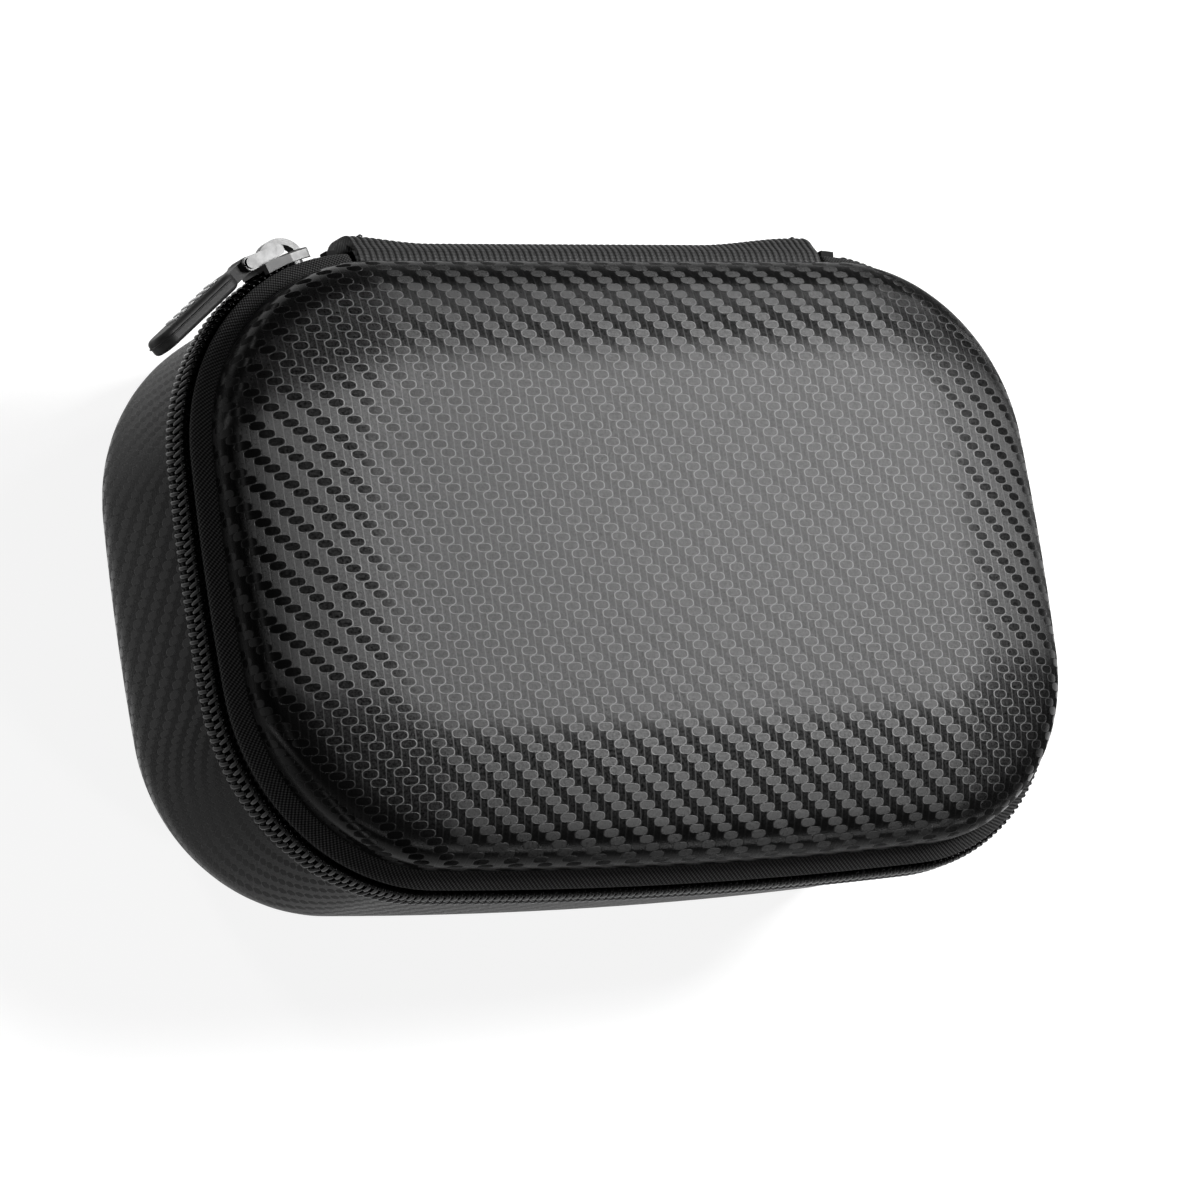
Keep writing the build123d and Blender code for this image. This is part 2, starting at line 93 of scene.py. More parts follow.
RIBBON_OUT = 0.6
RIBBON_T = 1.1
RIBBON_END_RISE = 1.5                   # the doubled ends stand this much prouder
RIBBON_LEFT_TAPER = 15.0
RIBBON_RIGHT_TAPER = 22.0
RIBBON_RIGHT_FULL = 3.0                 # the right end is at its full rise up to here
RIB = 1.15
RIB_RISE = 0.3

BINDING_T = 0.55
BINDING_GAP = 0.06
SEAM_IN = 6.4                           # the rim's seam, inside the chain's face
SEAM_PITCH, SEAM_STITCH = 3.4, 2.6
RIM_STITCH_LIFT = 0.22

LINK_PIN = (6.0, 1.7)                   # along and outward from the slider's middle
TAB_TILT = math.radians(17.5)
TAB_START = 3.2
TAB_END = 21.9
TAB_W = 6.2

POCKET_FRONT = -22.0
POCKET_Z = SPLIT_Z + 7.0
POCKET_IN = 9.4
NET_Z = POCKET_Z + 0.2
NET_CELL = 2.3
NET_THREAD = 0.34
NET_SAG, NET_SAG_Y = 0.25, 10
NET_SAG_LENGTH, NET_SAG_DEPTH = 150, 70
ELASTIC_W = 6.0


# ---- outline of the case -------------------------------------------------------------------------
class Span:
    """A stretch of the outline: an arc about a centre, or a straight run when radius is None."""

    def __init__(self, x, y, radius, start, amount):
        self.x, self.y, self.radius, self.start, self.amount = x, y, radius, start, amount
        self.length = amount if radius is None else radius * amount

    def place(self, distance):
        """Points on the chain's face and outward directions, at distances along the span."""
        distance = np.asarray(distance, float)
        start = np.array([self.x, self.y])
        if self.radius is None:
            along = np.array([math.cos(self.start), math.sin(self.start)])
            out = np.array([along[1], -along[0]])
            return start + distance[:, None] * along, np.tile(out, (len(distance), 1))
        angle = self.start + distance / self.radius
        out = np.stack([np.cos(angle), np.sin(angle)], 1)
        return start + self.radius * out, out

    def part(self, first, last):
        """The stretch of an arc between two angles from its start."""
        return Span(self.x, self.y, self.radius, self.start + first, last - first)


def outline_spans():
    """The chain's line, from the left end of the front side round to it again, anticlockwise.

    Each short side is two arcs that meet at its middle. The radii of the long arcs are those with
    which the corners and bows add up to the case's length and depth.
    """
    across = HALF_LENGTH - FRONT_CORNER_R * (math.cos(SIDE_BOW) - math.sin(FRONT_BOW))
    along = HALF_DEPTH - FRONT_CORNER_R * (math.cos(FRONT_BOW) - math.sin(SIDE_BOW))
    bow_s, bow_c = math.sin(FRONT_BOW), 1 - math.cos(FRONT_BOW)
    side_s, side_c = math.sin(SIDE_BOW), 1 - math.cos(SIDE_BOW)
    det = bow_s * side_s - side_c * bow_c
    front_r = (across * side_s - along * side_c) / det
    low_r = (along * bow_s - across * bow_c) / det
    high_r = (HALF_DEPTH - BACK_CORNER_R * (1 - side_s)) / side_s
    half_run = HALF_LENGTH - BACK_CORNER_R * math.cos(SIDE_BOW) - high_r * side_c
    quarter = math.pi / 2 - SIDE_BOW
    steps = [(front_r, 2 * FRONT_BOW), (FRONT_CORNER_R, quarter - FRONT_BOW),
             (low_r, SIDE_BOW), (high_r, SIDE_BOW), (BACK_CORNER_R, quarter),
             (None, 2 * half_run), (BACK_CORNER_R, quarter),
             (high_r, SIDE_BOW), (low_r, SIDE_BOW), (FRONT_CORNER_R, quarter - FRONT_BOW)]
    x, y, heading = -front_r * bow_s, -HALF_DEPTH + front_r * bow_c, -FRONT_BOW
    spans = []
    for radius, amount in steps:
        if radius is None:
            spans.append(Span(x, y, None, heading, amount))
            x, y = x + amount * math.cos(heading), y + amount * math.sin(heading)
        else:
            cx, cy = x - radius * math.sin(heading), y + radius * math.cos(heading)
            spans.append(Span(cx, cy, radius, heading - math.pi / 2, amount))
            heading += amount
            x, y = cx + radius * math.sin(heading), cy - radius * math.cos(heading)
    return spans


OUTLINE = outline_spans()
OUTLINE_SPACING = 1.0
START_SLACK = 1e-9
FAR_CORNER, HINGE_RUN, SLIDER_CORNER = OUTLINE[4], OUTLINE[5], OUTLINE[6]


def zip_spans(first, last):
    """From an angle on the slider's corner round to an angle on the far corner, both from +Y."""
    return [SLIDER_CORNER.part(first, SLIDER_CORNER.amount), *OUTLINE[7:], *OUTLINE[:4],
            FAR_CORNER.part(0, FAR_CORNER.amount - last)]


def total_length(spans):
    """Length of a chain of spans."""
    return sum(s.length for s in spans)


def place(spans, distances):
    """Points and outward directions at distances along a chain of spans."""
    distances = np.asarray(distances, float)
    points, outs = np.zeros((len(distances), 2)), np.zeros((len(distances), 2))
    begin = 0.0
    for k, span in enumerate(spans):
        reached = distances >= begin - (START_SLACK if k == 0 else 0)
        not_passed = (distances < begin + span.length) | (k == len(spans) - 1)
        inside = reached & not_passed
        points[inside], outs[inside] = span.place(distances[inside] - begin)
        begin += span.length
    return points, outs


def stations(spans, spacing):
    """Distances along the spans with one at every change of span."""
    marks, begin = [], 0.0
    for span in spans:
        count = max(2, int(round(span.length / spacing)))
        marks.extend(begin + span.length * np.arange(count) / count)
        begin += span.length
    return np.array(marks + [begin])


# ---- mesh building -------------------------------------------------------------------------------
def make_mesh(name, points, faces, uv=None):
    """An object from points in millimetres. uv is one pair per face corner, in metres."""
    mesh = bpy.data.meshes.new(name)
    mesh.from_pydata((np.asarray(points, float) * MM).tolist(), [], faces)
    if uv is not None:
        mesh.uv_layers.new(name=UV_LAYER).data.foreach_set("uv", np.asarray(uv, np.float32).ravel())
    work = bmesh.new()
    work.from_mesh(mesh)
    bmesh.ops.recalc_face_normals(work, faces=work.faces)
    work.to_mesh(mesh)
    work.free()
    mesh.shade_smooth()
    piece = bpy.data.objects.new(name, mesh)
    bpy.context.scene.collection.objects.link(piece)
    return piece


def grid_corners(rows, columns):
    """The row and column of each corner of each cell. The last may be one past the grid's end."""
    a, b = np.meshgrid(np.arange(rows), np.arange(columns), indexing="ij")
    a, b = a.ravel(), b.ravel()
    return np.stack([a, a + 1, a + 1, a], 1), np.stack([b, b, b + 1, b + 1], 1)


def lengths(points, closed=False):
    """Distance along a line of points."""
    line = np.vstack([points, points[:1]]) if closed else np.asarray(points)
    return np.concatenate([[0], np.cumsum(np.linalg.norm(np.diff(line, axis=0), axis=1))])


def sweep(name, spans, section, spacing, shape=None):
    """A closed section carried along spans and capped at both ends.

    shape(marks, section) may return a section for each station.
    """
    marks = stations(spans, spacing)
    flat, out = place(spans, marks)
    section = np.asarray(section, float)
    sections = np.tile(section, (len(marks), 1, 1)) if shape is None else shape(marks, section)
    points = np.zeros((len(marks), sections.shape[1], 3))
    points[:, :, :2] = flat[:, None, :] + out[:, None, :] * sections[:, :, :1]
    points[:, :, 2] = sections[:, :, 1]
    rows, columns = points.shape[:2]
    a, b = grid_corners(rows - 1, columns)
    faces = (a * columns + b % columns).tolist()
    around = lengths(section, closed=True)
    uv = np.stack([marks[a], around[b]], -1).reshape(-1, 2)
    for row in (0, rows - 1):
        faces.append([row * columns + j for j in range(columns)])
        uv = np.vstack([uv, np.stack([marks[row] + section[:, 0], section[:, 1]], 1)])
    return make_mesh(name, points.reshape(-1, 3), faces, uv * MM)


CORNER_CUTS = 2
CORNER_SHARE = 0.25


def rounded(points):
    """Corners of a closed figure cut until it looks smooth."""
    points = np.asarray(points, float)
    near, far = 1 - CORNER_SHARE, CORNER_SHARE
    for _ in range(CORNER_CUTS):
        after = np.roll(points, -1, axis=0)
        points = np.stack([near * points + far * after, far * points + near * after], 1)
        points = points.reshape(-1, 2)
    return points


def tube_parts(path, side, radius, sides):
    """Points and faces of a capped tube. side gives one direction across the path at each point."""
    forward = np.gradient(path, axis=0)
    forward /= np.linalg.norm(forward, axis=1)[:, None]
    first = side - (side * forward).sum(1)[:, None] * forward
    first /= np.linalg.norm(first, axis=1)[:, None]
    second = np.cross(forward, first)
    turn = 2 * math.pi * np.arange(sides) / sides
    c, s = np.cos(turn)[None, :, None], np.sin(turn)[None, :, None]
    ring = c * first[:, None] + s * second[:, None]
    points = (path[:, None] + radius * ring).reshape(-1, 3)
    a, b = grid_corners(len(path) - 1, sides)
    faces = (a * sides + b % sides).tolist()
    faces.append(list(range(sides)))
    faces.append(list(range(len(points) - sides, len(points))))
    return points, faces


def join(parts):
    """Several (points, faces) as one."""
    points, faces, base = [], [], 0
    for p, f in parts:
        points.append(p)
        faces.extend([[i + base for i in face] for face in f])
        base += len(p)
    return np.vstack(points), faces


# ---- materials -----------------------------------------------------------------------------------
NOISE = (0.3, 0.7)          # where nearly all of a noise's values lie


class Finish:
    """A node material and short ways to wire it."""

    def __init__(self, name, colour, roughness, **sockets):
        self.material = bpy.data.materials.new(name)
        self.material.use_nodes = True
        self.tree = self.material.node_tree
        self.shader = self.tree.nodes["Principled BSDF"]
        self.shader.inputs["Base Color"].default_value = (*colour, 1)
        self.shader.inputs["Roughness"].default_value = roughness
        for socket, value in sockets.items():
            self.shader.inputs[socket.replace("_", " ")].default_value = value

    def add(self, kind, inputs=(), **settings):
        """A new node, with values or other nodes' outputs in its sockets."""
        node = self.tree.nodes.new(kind)
        for key, value in settings.items():
            setattr(node, key, value)
        for key, value in dict(inputs).items():
            self.feed(node.inputs[key], value)
        return node

    def feed(self, socket, value):
        """Link an output to a socket, or set the socket's own value."""
        if isinstance(value, bpy.types.NodeSocket):
            self.tree.links.new(value, socket)
        else:
            socket.default_value = value

    def into(self, name, value):
        """The same for a socket of the material's shader."""
        self.feed(self.shader.inputs[name], value)

    def math(self, operation, *values):
        """A maths node's result."""
        return self.add("ShaderNodeMath", enumerate(values), operation=operation).outputs[0]

    def coordinates(self, name="UV"):
        """A place on the piece or its normal. UV is in metres along the cloth."""
        return self.add("ShaderNodeTexCoord").outputs[name]

    def split(self, vector):
        """The three parts of a vector."""
        parts = self.add("ShaderNodeSeparateXYZ", {"Vector": vector}).outputs
        return parts[0], parts[1], parts[2]

    def noise(self, vector, scale, detail=3.0, roughness=0.5):
        inputs = {"Vector": vector, "Scale": scale, "Detail": detail, "Roughness": roughness}
        return self.add("ShaderNodeTexNoise", inputs).outputs["Fac"]

    def span(self, value, low, high, new_low, new_high):
        """value carried from one range to another and held inside it."""
        inputs = enumerate((value, low, high, new_low, new_high))
        return self.add("ShaderNodeMapRange", inputs).outputs[0]

    def blend(self, share, first, second):
        """Two colours mixed. The node repeats its sockets' names, so they are taken by number."""
        node = self.add("ShaderNodeMix", data_type="RGBA")
        self.feed(node.inputs[0], share)
        self.feed(node.inputs[6], first)
        self.feed(node.inputs[7], second)
        return node.outputs[2]

    def bump(self, height):
        """height is in metres."""
        node = self.add("ShaderNodeBump", {"Height": height, "Distance": 1.0, "Strength": 1.0})
        self.into("Normal", node.outputs[0])
        return node


def grey(value):
    """An opaque colour."""
    return (value, value, value, 1)


def woven_cover(name):
    """Embossed 2/2 twill: rounded weft floats standing in rows between plain warp bars.

    Light spreads across a thread and hardly along it, so each set of threads is shaded as if the
    surface bent less across them than it does. Where the cover faces up, its grain and the rims of
    the floats and creases are painted paler: a painted highlight for the light from above.
    """
    tow_x, tow_y, tow_drift = 0.00133, 0.00139, 0.00012
    threads_in_tow, bend_left = 7, 0.42
    float_power, float_length = 2.6, 0.95
    float_rise, thread_rise, crease_drop, speck_rise = 0.000016, 0.000002, 0.00001, 0.000008
    # the power keeps the painted highlight to up-facing cover; crease_share is the creases' share
    # of it
    painted_highlight_power, crease_share = 28.0, 0.35

    f = Finish(name, (0.002, 0.002, 0.0022), 0.3, Anisotropic=0.97, Specular_IOR_Level=0.065)
    uv = f.coordinates()
    x, y, _ = f.split(uv)
    drift = f.span(f.noise(uv, 90.0), *NOISE, -tow_drift, tow_drift)
    u = f.math("DIVIDE", f.math("ADD", x, drift), tow_x)
    v = f.math("DIVIDE", f.math("ADD", y, drift), tow_y)
    fu, fv = f.math("FRACT", u), f.math("FRACT", v)

    # each row of the 2/2 weave is one tow further on: step is 0 to 3 along a float's repeat
    cell = f.math("ADD", f.math("FLOOR", u), f.math("FLOOR", v))
    step = f.math("FLOOR", f.math("FLOORED_MODULO", f.math("ADD", cell, 0.25), 4.0))
    from_middle = f.math("WRAP", f.math("SUBTRACT", f.math("ADD", step, fu), 1.0), 2.0, -2.0)
    side = f.math("ABSOLUTE", f.math("SUBTRACT", f.math("MULTIPLY", fv, 2.0), 1.0))
    side = f.math("POWER", side, float_power)
    end = f.math("POWER", f.math("ABSOLUTE", from_middle), float_power)
    top = f.math("SUBTRACT", 1.0, f.math("ADD", side, f.math("MULTIPLY", end, float_length)))
    is_weft = f.math("GREATER_THAN", top, 0.0)
    is_warp = f.math("SUBTRACT", 1.0, is_weft)
    away = f.math("ABSOLUTE", top)
    plateau = f.span(away, 0.0, 0.14, 0.0, 1.0)
    rim = f.span(away, 0.03, 0.3, 1.0, 0.0)
    crease = f.math("ABSOLUTE", f.math("SUBTRACT", fu, 0.5))
    crease = f.math("MULTIPLY", is_warp, f.span(crease, 0.38, 0.5, 0.0, 1.0))
    across = f.math("ADD", f.math("MULTIPLY", is_weft, fv), f.math("MULTIPLY", is_warp, fu))
    thread = f.math("SINE", f.math("MULTIPLY", across, 2 * math.pi * threads_in_tow))
    speck = f.noise(uv, 2300.0, 3.0, 0.7)
    height = f.math("ADD", f.math("MULTIPLY", plateau, float_rise),
                    f.math("MULTIPLY", thread, thread_rise))
    height = f.math("SUBTRACT", height, f.math("MULTIPLY", crease, crease_drop))
    height = f.math("ADD", height, f.math("MULTIPLY", speck, speck_rise))

    nx, ny, nz = f.split(f.coordinates("Normal"))
    nx = f.math("MULTIPLY", nx, f.span(is_weft, 0.0, 1.0, bend_left, 1.0))
    ny = f.math("MULTIPLY", ny, f.span(is_weft, 0.0, 1.0, 1.0, bend_left))
    eased = f.add("ShaderNodeCombineXYZ", enumerate((nx, ny, nz))).outputs[0]
    eased = f.add("ShaderNodeVectorTransform", {"Vector": eased}, vector_type="NORMAL",
                  convert_from="OBJECT", convert_to="WORLD").outputs[0]
    f.feed(f.bump(height).inputs["Normal"], eased)
    tangent = f.add("ShaderNodeTangent", direction_type="UV_MAP", uv_map=UV_LAYER)
    f.into("Tangent", tangent.outputs[0])
    f.into("Anisotropic Rotation", f.math("MULTIPLY", is_weft, 0.25))

    # painted highlight: up-facing cover gets paler grain, and paler rims and creases on its floats
    level = f.math("POWER", f.math("MAXIMUM", nz, 0.0), painted_highlight_power)
    grain = f.math("MULTIPLY", f.span(speck, 0.38, 0.62, 0.0, 1.0), level)
    tone = f.blend(grain, grey(0.0015), grey(0.024))
    line = f.math("MAXIMUM", rim, f.math("MULTIPLY", crease, crease_share))
    f.into("Base Color", f.blend(line, tone, f.blend(level, grey(0.005), grey(0.15))))
    f.into("Roughness", f.span(f.noise(uv, 2600.0, 2.0), *NOISE, 0.25, 0.37))
    return f.material


def cloth(name, dark, light, pitch, height, coords="UV", sheen=0.03):
    """Fine diagonal cloth. Its cross threads lie closer together and are weaker than its ridges."""
    rough, cross_pitch, ridge_share, cross_share = 0.85, 0.7, 0.55, 0.45
    f = Finish(name, (dark, dark, dark), rough, Sheen_Weight=sheen, Sheen_Roughness=0.4,
               Specular_IOR_Level=0.06)
    where = f.coordinates(coords)
    x, y, z = f.split(where)
    first, second = f.math("ADD", x, y), f.math("SUBTRACT", x, y)
    if coords == "Object":
        first, second = f.math("ADD", first, z), f.math("SUBTRACT", second, z)
    ridge = f.math("SINE", f.math("MULTIPLY", first, 2 * math.pi / pitch))
    cross = f.math("SINE", f.math("MULTIPLY", second, 2 * math.pi / (cross_pitch * pitch)))
    weave = f.math("ADD", f.math("MULTIPLY", cross, cross_share),
                   f.math("MULTIPLY", ridge, ridge_share))
    fuzz = f.noise(where, 3500.0, 2.0)
    share = f.span(f.math("ADD", weave, fuzz), 0.1, 1.5, 0.0, 1.0)
    f.into("Base Color", f.blend(share, grey(dark), grey(light)))
    f.into("Roughness", f.span(fuzz, 0.2, 0.8, rough - 0.1, rough + 0.08))
    f.bump(f.math("MULTIPLY", f.math("ADD", weave, fuzz), height))
    return f.material


def ribbed_tape(name, dark, light):
    """Woven tape with ribs across it, a painted highlight along their crests, and fine threads over
    each.
    """
    thread_pitch, height = 0.0005, 0.00012
    f = Finish(name, (dark, dark, dark), 0.6, Sheen_Weight=0.03, Specular_IOR_Level=0.15)
    uv = f.coordinates()
    x, y, _ = f.split(uv)
    crest = f.math("ABSOLUTE", f.math("SINE", f.math("MULTIPLY", x, math.pi / (RIB * MM))))
    threads = f.math("SINE", f.math("MULTIPLY", y, 2 * math.pi / thread_pitch))
    # painted highlight: the crests of the ribs are painted in the light colour
    share = f.math("ADD", f.math("POWER", crest, 4.0), f.math("MULTIPLY", threads, 0.2))
    f.into("Base Color", f.blend(f.span(share, 0.1, 1.1, 0.0, 1.0), grey(dark), grey(light)))
    f.into("Roughness", f.span(f.noise(uv, 3000.0), *NOISE, 0.5, 0.7))
    f.bump(f.math("MULTIPLY", f.math("ADD", crest, f.math("MULTIPLY", threads, 0.15)), height))
    return f.material


def metal(name, tone):
    """Dull dark metal, darker still in patches."""
    rough, rough_swing, patch = 0.42, 0.04, 0.72
    f = Finish(name, (tone, tone, tone * 1.02), rough, Metallic=1.0)
    where = f.coordinates("Object")
    grime = f.noise(where, 900.0, 5.0, 0.6)
    f.into("Roughness", f.span(grime, *NOISE, rough - rough_swing, rough + rough_swing))
    patches = f.span(f.noise(where, 260.0, 4.0), 0.35, 0.7, 0.0, 1.0)
    f.into("Base Color", f.blend(patches, grey(tone), grey(tone * patch)))
    return f.material


def plastic(name, tone, rough, grain, scale, shine=0.5):
    """Smooth or grainy matter. grain is the height of its specks and scale how fine they are."""
    dark, light, rough_swing = 0.75, 1.3, 0.06
    f = Finish(name, (tone, tone, tone), rough, Specular_IOR_Level=shine)
    speck = f.noise(f.coordinates("Object"), scale, 3.0, 0.6)
    f.into("Base Color", f.blend(speck, grey(tone * dark), grey(tone * light)))
    f.into("Roughness", f.span(speck, *NOISE, rough - rough_swing, rough + rough_swing))
    f.bump(f.math("MULTIPLY", speck, grain))
    return f.material


FINE_CLOTH = dict(dark=0.003, light=0.016, pitch=0.0008, height=0.00004, coords="Object")
LOOKS = (
    ("embossed_cover", woven_cover, {}),
    ("foam", plastic, dict(tone=0.03, rough=0.9, grain=0.00006, scale=1400.0, shine=0.2)),
    ("lining", cloth, dict(dark=0.01, light=0.045, pitch=0.0012, height=0.00005, coords="Object",
                           sheen=0.2)),
    ("binding", cloth, FINE_CLOTH),
    ("thread", cloth, dict(dark=0.01, light=0.03, pitch=0.0003, height=0.00002, coords="Object")),
    ("zip_tape", cloth, dict(dark=0.0004, light=0.034, pitch=0.0008, height=0.00005)),
    ("zip_coil", plastic, dict(tone=0.0012, rough=0.14, grain=0.000002, scale=4000.0, shine=0.1)),
    ("stop_metal", plastic, dict(tone=0.003, rough=0.5, grain=0.00001, scale=2500.0, shine=0.02)),
    # for the ribbon, light is the colour of the painted highlight on the ribs' crests
    ("ribbon", ribbed_tape, dict(dark=0.0012, light=0.018)),
    ("mesh", cloth, dict(dark=0.012, light=0.03, pitch=0.0004, height=0.00001, coords="Object")),
    ("elastic", cloth, dict(dark=0.008, light=0.03, pitch=0.0006, height=0.00003,
                            coords="Object")),
    ("slider_metal", metal, dict(tone=0.05)),
    ("pull_metal", metal, dict(tone=0.06)),
    ("tab_rubber", plastic, dict(tone=0.008, rough=0.5, grain=0.00001, scale=3000.0, shine=0.1)),
    ("tab_grip", plastic, dict(tone=0.4, rough=0.5, grain=0.00001, scale=3000.0)),
)
FINISHES = {name: make(name, **look) for name, make, look in LOOKS}


BEVEL_SEGMENTS = 3
BEVEL_FROM = math.radians(35)           # edges less sharp than this are left


def finish_with(piece, slot):
    """Give a new piece its material."""
    piece.data.materials.append(FINISHES[slot])
    return piece


def refinish(node, slot, bevel=None):
    """A CAD node keeps its shape and takes a better material, with its edges eased."""
    piece = NODES[node]
    if piece.material_slots:
        for holder in piece.material_slots:
            holder.material = FINISHES[slot]
    else:
        piece.data.materials.append(FINISHES[slot])
    if bevel:
        eased = piece.modifiers.new("eased_edges", "BEVEL")
        eased.width = bevel * MM
        eased.segments = BEVEL_SEGMENTS
        eased.limit_method = "ANGLE"
        eased.angle_limit = BEVEL_FROM
        eased.harden_normals = False


def stand_for(piece, slot, body, *nodes):
    """Usual end of a new piece: material, body and the CAD nodes it replaces."""
    finish_with(piece, slot)
    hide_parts(*nodes)
    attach(piece, body)
    return piece


# ---- covers and linings --------------------------------------------------------------------------
def soft_edge_headings(width, rise, radii):
    """Where two arcs of a soft edge end, so that all three span the width and the rise."""
    small, middle, large = radii
    level, upright = large - rise, width - small
    first, second = middle - small, large - middle
    between = math.acos((level**2 + upright**2 - first**2 - second**2) / (2 * first * second))
    lean = math.atan2(first * math.sin(between), second + first * math.cos(between))
    flat_end = math.atan2(upright, level) - lean
    return math.pi - flat_end - between, math.pi - flat_end


def base_steps():
    """The base's wall below its rim as arcs: radius, heading at its end, number of points."""
    rise = BASE_EDGE_R * (1 - math.sin(BELLY))
    belly_r = (SPLIT_Z - RIM_H - rise) / (2 * math.sin(BELLY))
    return [(belly_r, math.pi / 2 + BELLY, 16), (BASE_EDGE_R, math.pi, 16)]


def lid_steps():
    """The same for the lid, which ends in a soft edge."""
    haunch, crown = soft_edge_headings(LID_EDGE, CASE_H - SPLIT_Z - RIM_H - LID_WALL, LID_RADII)
    small, middle, large = LID_RADII
    return [(LID_WALL / math.sin(BELLY), math.pi / 2, 4), (small, haunch, 12), (middle, crown, 10),
            (large, math.pi, 14)]


def profile(steps, inward):
    """Fine points of a wall from its rim to the flat, moved inward."""
    h = math.pi / 2 - BELLY
    x, y = -RIM_IN - inward * math.sin(h), RIM_H + inward * math.cos(h)
    points = [(x, y)]
    for radius, end, count in steps:
        for stop in h + (end - h) * np.arange(1, count + 1) / count:
            points.append((x + (radius - inward) * (math.sin(stop) - math.sin(h)),
                           y + (radius - inward) * (math.cos(h) - math.cos(stop))))
        (x, y), h = points[-1], end
    return np.array(points)


FILL_SHARES = (0.85, 0.7, 0.5, 0.3, 0.12)       # rings over a flat, as shares of its edge


def moulded(name, steps, up, outer, inner, lip):
    """A thin moulded shell with its two flats filled. Its UV is the cloth laid out flat."""
    outside, inside = profile(steps, outer), profile(steps, inner)
    middle = (outside[0] + inside[0]) / 2 - np.array([0, lip])
    section = np.vstack([outside[::-1], middle[None], inside])
    marks = stations(OUTLINE, OUTLINE_SPACING)[:-1]
    flat, out = place(OUTLINE, marks)
    rows, columns = len(marks), len(section)
    points = np.zeros((rows, columns, 3))
    points[:, :, :2] = flat[:, None] + out[:, None] * section[None, :, :1]
    points[:, :, 2] = SPLIT_Z + up * section[:, 1]
    walk = lengths(outside[::-1])
    inner_walk = lengths(inside[::-1])[::-1]
    spread = np.concatenate([outside[-1, 0] + walk, [outside[-1, 0] + walk[-1]],
                             inside[-1, 0] + inner_walk])
    cut = flat[:, None] + out[:, None] * spread[None, :, None]
    a, b = grid_corners(rows, columns - 1)
    faces = ((a % rows) * columns + b).tolist()
    uv = cut[a % rows, b].reshape(-1, 2)

    wall = points
    points, base = [wall.reshape(-1, 3)], rows * columns
    for column in (0, columns - 1):
        ring = list(range(column, rows * columns, columns))
        for share in FILL_SHARES:
            new_ring = list(range(base, base + rows))
            points.append(wall[:, column] * np.array([share, share, 1.0]))
            for i in range(rows):
                j = (i + 1) % rows
                faces.append([ring[i], ring[j], new_ring[j], new_ring[i]])
            ring, base = new_ring, base + rows
        faces.append(ring)
    points = np.vstack(points)
    fill = np.concatenate([points[face, :2] for face in faces[rows * (columns - 1):]])
    piece = make_mesh(name, points, faces, np.vstack([uv, fill]) * MM)

    return piece


for (body, up), steps in zip(HALVES, (lid_steps(), base_steps())):
    shell = f"{body}_shell"
    cover = moulded(f"{body}_woven_cover", steps, up, 0, COVER_T, COVER_LIP)
    stand_for(cover, "embossed_cover", body, f"{body}_cover")
    inner_cloth = moulded(f"{body}_cloth_lining", steps, up, LINING_OUT, LINING_IN, LINING_LIP)
    stand_for(inner_cloth, "lining", body, f"{body}_lining")
    refinish(shell, "foam")
    refinish(f"{body}_rim_binding", "binding")


# ---- zip -----------------------------------------------------------------------------------------
def tape_section(up):
    """From the tape's edge at the coil over a ridge beside it to the flange, and back."""
    ridge_z = COIL_HALF_W + 0.9
    points = [(COIL_SEAT, 0.3), (COIL_SEAT, 1.6), (COIL_SEAT, COIL_HALF_W - 0.2),
              (TAPE_TOP, ridge_z - 0.3), (TAPE_TOP - 0.1, ridge_z + 0.5),
              (-RIM_IN + 0.6, FLANGE_Z - 0.5), (-RIM_IN - 0.4, FLANGE_Z),
              (-RIM_IN - 2.4, FLANGE_Z), (FLANGE_END, FLANGE_Z), (FLANGE_END, FLANGE_Z - TAPE_T),
              (-RIM_IN - 2.2, FLANGE_Z - TAPE_T), (-RIM_IN - 0.2, FLANGE_Z - TAPE_T),
              (-RIM_IN + 0.2, FLANGE_Z - TAPE_T - 0.5), (TAPE_TOP - 0.8, ridge_z + 0.2),
              (TAPE_TOP - 0.7, ridge_z), (COIL_SEAT - TAPE_T, COIL_HALF_W + 0.3),
              (COIL_SEAT - TAPE_T, 1.6), (COIL_SEAT - TAPE_T, 0.3)]
    fine = rounded(points)
    return np.stack([fine[:, 0], SPLIT_Z + up * fine[:, 1]], 1)


def coil_parts(up):
    """One half of the chain: a flattened spring whose turns reach just past the split plane.

    The base's turns lie half a pitch further on, between the lid's. Powers below one square the
    turns, and each leans a little along the chain.
    """
    per_turn, sides, lean = 18, 8, 0.1
    power_up, power_out = 0.8, 0.6
    spans = zip_spans(SLIDER_AT - COIL_NEAR_END, COIL_FAR_END)
    turns = int(total_length(spans) / COIL_PITCH) - 1
    phase = 2 * math.pi * np.arange(turns * per_turn + 1) / per_turn
    c, s = np.cos(phase), np.sin(phase)
    swing_up = COIL_UP_SWING * (np.sign(c) * np.abs(c) ** power_up)
    swing_out = COIL_OUT_SWING * (np.sign(s) * np.abs(s) ** power_out)
    height, outward = COIL_UP + swing_up, COIL_OUT + swing_out
    along = COIL_PITCH * (phase / (2 * math.pi) + lean * s) + COIL_WIRE_R
    along = along + (COIL_PITCH / 2 if up < 0 else 0)
    flat, out = place(spans, along)
    path = np.column_stack([flat + out * outward[:, None], SPLIT_Z + up * height])
    side = np.column_stack([out * (outward - COIL_OUT)[:, None], up * (height - COIL_UP)])
    return tube_parts(path, side, COIL_WIRE_R, sides)


for body, up in HALVES:
    run, section = zip_spans(TAPE_END, TAPE_END), tape_section(up)
    tape = sweep(f"{body}_woven_tape", run, section, spacing=1.2)
    stand_for(tape, "zip_tape", body, f"{body}_zip_tape")
    points, faces = coil_parts(up)
    coil = make_mesh(f"{body}_wound_coil", points, faces)
    stand_for(coil, "zip_coil", body, f"{body}_zip_coil")
    refinish(f"{body}_zip_cord", "thread")
    refinish(f"{body}_top_stop", "stop_metal", 0.15)
refinish("zip_end_stop", "stop_metal", 0.2)


